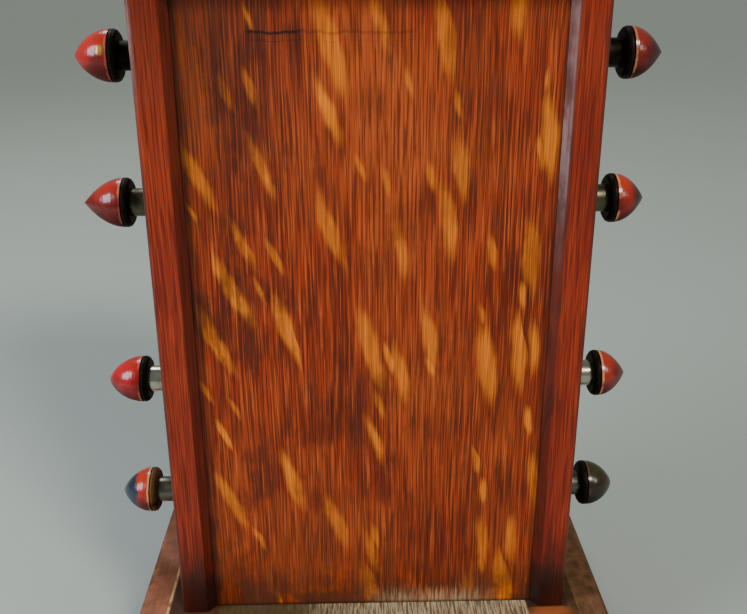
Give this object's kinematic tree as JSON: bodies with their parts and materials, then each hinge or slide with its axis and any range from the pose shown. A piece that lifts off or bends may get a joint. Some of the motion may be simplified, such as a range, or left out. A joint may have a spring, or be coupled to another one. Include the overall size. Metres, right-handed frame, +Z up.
{
  "type": "punch time clock",
  "caption": "Oak-cased time clock with a dial, card slot and punch lever in its head, hand-wound record spindles with acorn knobs through its sides, and a broad base.",
  "frame": {"origin": "on the floor, under the middle of the base", "axes": "+Z up, the front with the dial and panel faces -Y, the spindles lie along X"},
  "size_m": [0.3097, 0.173, 0.576],
  "materials": {
    "oak_panel": "quarter-sawn oak with ray flecks, glossy varnish",
    "oak_stile": "red-brown stained oak, glossy varnish",
    "oak_case": "stained oak, glossy varnish",
    "oak_dark": "dark stained oak, polished",
    "bare_wood": "unfinished softwood",
    "knob_lacquer": "worn red lacquer over dark metal",
    "knob_black": "black-olive lacquer, glossy",
    "bright_steel": "turned bright steel",
    "old_brass": "aged brass",
    "blued_steel": "blued steel",
    "enamel": "white enamel",
    "clear_glass": "clear",
    "dark_steel": "oiled steel",
    "inked_cloth": "woven cotton band, inked",
    "record_paper": "matt paper"
  },
  "bodies": {
    "case": {"feet": "oak_dark", "plinth": "oak_dark", "base_land": "oak_dark", "side_left": "oak_case", "side_right": "oak_case", "stile_left": "oak_stile", "stile_right": "oak_stile", "front_panel": "oak_panel", "waist_moulding": "oak_case", "head_front": "oak_panel", "cornice": "oak_case", "top_board": "oak_dark", "seat_board": "bare_wood", "spindle_bushes": "old_brass", "ribbon_web": "inked_cloth", "paper_web": "record_paper", "door_fittings": "old_brass", "bezel_hinge": "old_brass", "dial": "enamel", "card_escutcheon": "old_brass", "card_guide": "dark_steel", "front_plate": "old_brass", "back_plate": "old_brass", "plate_pillars": "old_brass"},
    "spindle_assembly_1": {"spindle_1": "bright_steel", "knob_left_1": "knob_lacquer", "knob_right_1": "knob_lacquer", "ribbon_spool_1": "inked_cloth"},
    "spindle_assembly_2": {"spindle_2": "bright_steel", "knob_left_2": "knob_lacquer", "knob_right_2": "knob_lacquer", "ribbon_spool_2": "inked_cloth"},
    "spindle_assembly_3": {"spindle_3": "bright_steel", "knob_left_3": "knob_lacquer", "knob_right_3": "knob_lacquer", "paper_roll_3": "record_paper"},
    "spindle_assembly_4": {"spindle_4": "bright_steel", "knob_left_4": "knob_lacquer", "knob_right_4": "knob_black", "paper_roll_4": "record_paper"},
    "minute_works": {"centre_arbor": "bright_steel", "cannon_pinion": "old_brass", "minute_hand": "blued_steel"},
    "hour_works": {"hour_wheel": "old_brass", "hour_hand": "blued_steel"},
    "motion_wheel": {"minute_wheel": "old_brass"},
    "minute_type": {"minute_type_wheel": "dark_steel"},
    "hour_type": {"hour_type_wheel": "dark_steel"},
    "third_arbor": {"third_wheel": "old_brass"},
    "escape_arbor": {"escape_wheel": "old_brass"},
    "spring_barrel": {"mainspring_barrel": "old_brass"},
    "barrel_arbor": {"winding_arbor": "bright_steel"},
    "pendulum_assembly": {"pendulum": "old_brass"},
    "lever_assembly": {"punch_lever": "bright_steel"},
    "hammer_assembly": {"print_hammer": "dark_steel"},
    "door": {"back_door": "oak_case", "door_leaves": "old_brass"},
    "lock": {"door_key": "bright_steel"},
    "bezel": {"bezel_ring": "old_brass", "dial_glass": "clear_glass"}
  },
  "joints": [
    {"name": "ribbon_feed_turn", "type": "hinge", "parent": "case", "child": "spindle_assembly_1", "pos_m": [0, 0, 0.3555], "axis": [1, 0, 0], "continuous": true},
    {"name": "ribbon_takeup_turn", "type": "hinge", "parent": "case", "child": "spindle_assembly_2", "pos_m": [0, 0, 0.2777], "axis": [1, 0, 0], "continuous": true},
    {"name": "paper_takeup_turn", "type": "hinge", "parent": "case", "child": "spindle_assembly_3", "pos_m": [0, 0, 0.171], "axis": [1, 0, 0], "continuous": true},
    {"name": "paper_supply_turn", "type": "hinge", "parent": "case", "child": "spindle_assembly_4", "pos_m": [0, 0, 0.0953], "axis": [1, 0, 0], "continuous": true},
    {"name": "minute_hand_turn", "type": "hinge", "parent": "case", "child": "minute_works", "pos_m": [0, 0, 0.5], "axis": [0, 1, 0], "continuous": true},
    {"name": "hour_hand_turn", "type": "hinge", "parent": "case", "child": "hour_works", "pos_m": [0, 0, 0.5], "axis": [0, 1, 0], "continuous": true},
    {"name": "motion_wheel_turn", "type": "hinge", "parent": "case", "child": "motion_wheel", "pos_m": [-0.0192, 0, 0.5], "axis": [0, 1, 0], "continuous": true},
    {"name": "minute_type_turn", "type": "hinge", "parent": "case", "child": "minute_type", "pos_m": [0, 0, 0.46928], "axis": [0, 1, 0], "continuous": true},
    {"name": "hour_type_turn", "type": "hinge", "parent": "case", "child": "hour_type", "pos_m": [0, 0, 0.46928], "axis": [0, 1, 0], "continuous": true},
    {"name": "third_arbor_turn", "type": "hinge", "parent": "case", "child": "third_arbor", "pos_m": [0.0108, 0, 0.51871], "axis": [0, 1, 0], "continuous": true},
    {"name": "escape_arbor_turn", "type": "hinge", "parent": "case", "child": "escape_arbor", "pos_m": [0, 0, 0.53183], "axis": [0, 1, 0], "continuous": true},
    {"name": "spring_barrel_turn", "type": "hinge", "parent": "case", "child": "spring_barrel", "pos_m": [0.02728, 0, 0.48425], "axis": [0, 1, 0], "continuous": true},
    {"name": "winding_arbor_turn", "type": "hinge", "parent": "case", "child": "barrel_arbor", "pos_m": [0.02728, 0, 0.48425], "axis": [0, 1, 0], "continuous": true},
    {"name": "pendulum_swing", "type": "hinge", "parent": "case", "child": "pendulum_assembly", "pos_m": [0, 0, 0.54834], "axis": [0, 1, 0], "range_deg": [-4, 4]},
    {"name": "punch_lever_press", "type": "hinge", "parent": "case", "child": "lever_assembly", "pos_m": [0, -0.004, 0.424], "axis": [1, 0, 0], "range_deg": [0, 28], "stiffness_Nm_per_rad": 0.15, "springref_deg": -28.65},
    {"name": "hammer_strike", "type": "hinge", "parent": "case", "child": "hammer_assembly", "pos_m": [0, -0.029, 0.434], "axis": [1, 0, 0], "range_deg": [-23, 0]},
    {"name": "back_door_swing", "type": "hinge", "parent": "case", "child": "door", "pos_m": [-0.098, 0.0628, 0], "axis": [0, 0, 1], "range_deg": [0, 110]},
    {"name": "lock_key_turn", "type": "hinge", "parent": "door", "child": "lock", "pos_m": [0.08, 0, 0.3], "axis": [0, -1, 0], "range_deg": [0, 90]},
    {"name": "bezel_swing", "type": "hinge", "parent": "case", "child": "bezel", "pos_m": [-0.057, -0.0633, 0], "axis": [0, 0, -1], "range_deg": [0, 110]}
  ],
  "couplings": [
    {"joint": "ribbon_takeup_turn", "follows": "ribbon_feed_turn", "ratio": 1.4196},
    {"joint": "paper_supply_turn", "follows": "paper_takeup_turn", "ratio": 0.57597},
    {"joint": "hour_hand_turn", "follows": "minute_hand_turn", "ratio": 0.083333},
    {"joint": "motion_wheel_turn", "follows": "minute_hand_turn", "ratio": -0.33333},
    {"joint": "minute_type_turn", "follows": "minute_hand_turn", "ratio": -1},
    {"joint": "hour_type_turn", "follows": "minute_hand_turn", "ratio": -0.083333},
    {"joint": "third_arbor_turn", "follows": "minute_hand_turn", "ratio": -8},
    {"joint": "escape_arbor_turn", "follows": "minute_hand_turn", "ratio": 60},
    {"joint": "spring_barrel_turn", "follows": "minute_hand_turn", "ratio": -0.125},
    {"joint": "hammer_strike", "follows": "punch_lever_press", "ratio": -0.8}
  ]
}
